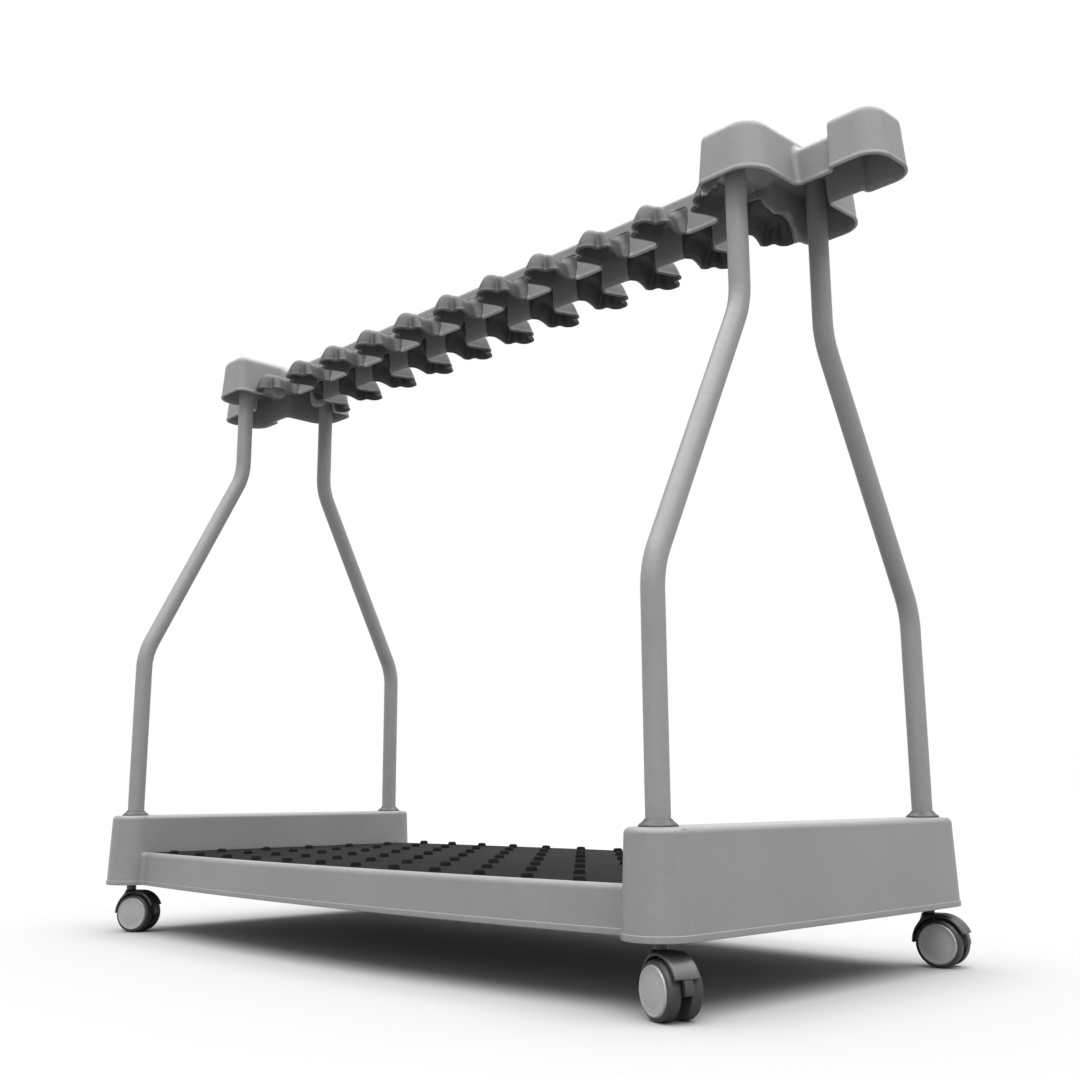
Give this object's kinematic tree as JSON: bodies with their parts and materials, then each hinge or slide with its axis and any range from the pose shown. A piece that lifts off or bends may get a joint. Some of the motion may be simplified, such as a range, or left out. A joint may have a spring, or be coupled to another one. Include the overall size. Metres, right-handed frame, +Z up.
{
  "type": "garden tool rack",
  "caption": "Free-standing wheeled rack that holds long-handled garden tools upright between soft fingers over a studded tray.",
  "frame": {"origin": "on the floor under the middle of the rack, level with the lowest point of the wheels", "axes": "+X along the rack to its right end, -Y towards the front, +Z up"},
  "size_m": [1.18, 0.48, 0.8095],
  "materials": {
    "shell": "fine satin moulding",
    "mat": "matt, studded",
    "tube": "satin powder coat",
    "collar": "matt",
    "finger": "matt, soft",
    "stem": "black satin",
    "hood": "satin",
    "steel": "turned",
    "wheel": "satin, grey hub cap"
  },
  "bodies": {
    "frame": {"tray": "shell", "studded_mat": "mat", "leg_front_right": "tube", "leg_back_right": "tube", "leg_front_left": "tube", "leg_back_left": "tube", "leg_collar_front_right": "collar", "leg_collar_back_right": "collar", "leg_collar_front_left": "collar", "leg_collar_back_left": "collar", "head_right": "shell", "head_left": "shell", "rail": "shell", "finger_front_01": "finger", "finger_back_01": "finger", "finger_front_02": "finger", "finger_back_02": "finger", "finger_front_03": "finger", "finger_back_03": "finger", "finger_front_04": "finger", "finger_back_04": "finger", "finger_front_05": "finger", "finger_back_05": "finger", "finger_front_06": "finger", "finger_back_06": "finger", "finger_front_07": "finger", "finger_back_07": "finger", "finger_front_08": "finger", "finger_back_08": "finger", "finger_front_09": "finger", "finger_back_09": "finger", "finger_front_10": "finger", "finger_back_10": "finger", "finger_front_11": "finger", "finger_back_11": "finger", "caster_stem_front_right": "stem", "caster_stem_back_right": "stem", "caster_stem_front_left": "stem", "caster_stem_back_left": "stem"},
    "caster_front_right": {"caster_hood_front_right": "hood", "caster_axle_front_right": "steel"},
    "wheel_front_right_a": {"caster_wheel_front_right_a": "wheel"},
    "wheel_front_right_b": {"caster_wheel_front_right_b": "wheel"},
    "caster_back_right": {"caster_hood_back_right": "hood", "caster_axle_back_right": "steel"},
    "wheel_back_right_a": {"caster_wheel_back_right_a": "wheel"},
    "wheel_back_right_b": {"caster_wheel_back_right_b": "wheel"},
    "caster_front_left": {"caster_hood_front_left": "hood", "caster_axle_front_left": "steel"},
    "wheel_front_left_a": {"caster_wheel_front_left_a": "wheel"},
    "wheel_front_left_b": {"caster_wheel_front_left_b": "wheel"},
    "caster_back_left": {"caster_hood_back_left": "hood", "caster_axle_back_left": "steel"},
    "wheel_back_left_a": {"caster_wheel_back_left_a": "wheel"},
    "wheel_back_left_b": {"caster_wheel_back_left_b": "wheel"}
  },
  "joints": [
    {"name": "swivel_front_right", "type": "hinge", "parent": "frame", "child": "caster_front_right", "pos_m": [0.454, -0.2078, 0.0515], "axis": [0, 0, 1], "continuous": true},
    {"name": "spin_front_right_a", "type": "hinge", "parent": "caster_front_right", "child": "wheel_front_right_a", "pos_m": [0.46604, -0.21153, 0.0232], "axis": [0.2957, 0.9553, 0], "continuous": true},
    {"name": "spin_front_right_b", "type": "hinge", "parent": "caster_front_right", "child": "wheel_front_right_b", "pos_m": [0.46604, -0.21153, 0.0232], "axis": [0.2957, 0.9553, 0], "continuous": true},
    {"name": "swivel_back_right", "type": "hinge", "parent": "frame", "child": "caster_back_right", "pos_m": [0.454, 0.2078, 0.0515], "axis": [0, 0, 1], "continuous": true},
    {"name": "spin_back_right_a", "type": "hinge", "parent": "caster_back_right", "child": "wheel_back_right_a", "pos_m": [0.46643, 0.20988, 0.0232], "axis": [-0.165, 0.9863, 0], "continuous": true},
    {"name": "spin_back_right_b", "type": "hinge", "parent": "caster_back_right", "child": "wheel_back_right_b", "pos_m": [0.46643, 0.20988, 0.0232], "axis": [-0.165, 0.9863, 0], "continuous": true},
    {"name": "swivel_front_left", "type": "hinge", "parent": "frame", "child": "caster_front_left", "pos_m": [-0.454, -0.2078, 0.0515], "axis": [0, 0, 1], "continuous": true},
    {"name": "spin_front_left_a", "type": "hinge", "parent": "caster_front_left", "child": "wheel_front_left_a", "pos_m": [-0.44323, -0.20125, 0.0232], "axis": [-0.5195, 0.8545, 0], "continuous": true},
    {"name": "spin_front_left_b", "type": "hinge", "parent": "caster_front_left", "child": "wheel_front_left_b", "pos_m": [-0.44323, -0.20125, 0.0232], "axis": [-0.5195, 0.8545, 0], "continuous": true},
    {"name": "swivel_back_left", "type": "hinge", "parent": "frame", "child": "caster_back_left", "pos_m": [-0.454, 0.2078, 0.0515], "axis": [0, 0, 1], "continuous": true},
    {"name": "spin_back_left_a", "type": "hinge", "parent": "caster_back_left", "child": "wheel_back_left_a", "pos_m": [-0.44249, 0.20267, 0.0232], "axis": [0.4067, 0.9135, 0], "continuous": true},
    {"name": "spin_back_left_b", "type": "hinge", "parent": "caster_back_left", "child": "wheel_back_left_b", "pos_m": [-0.44249, 0.20267, 0.0232], "axis": [0.4067, 0.9135, 0], "continuous": true}
  ]
}
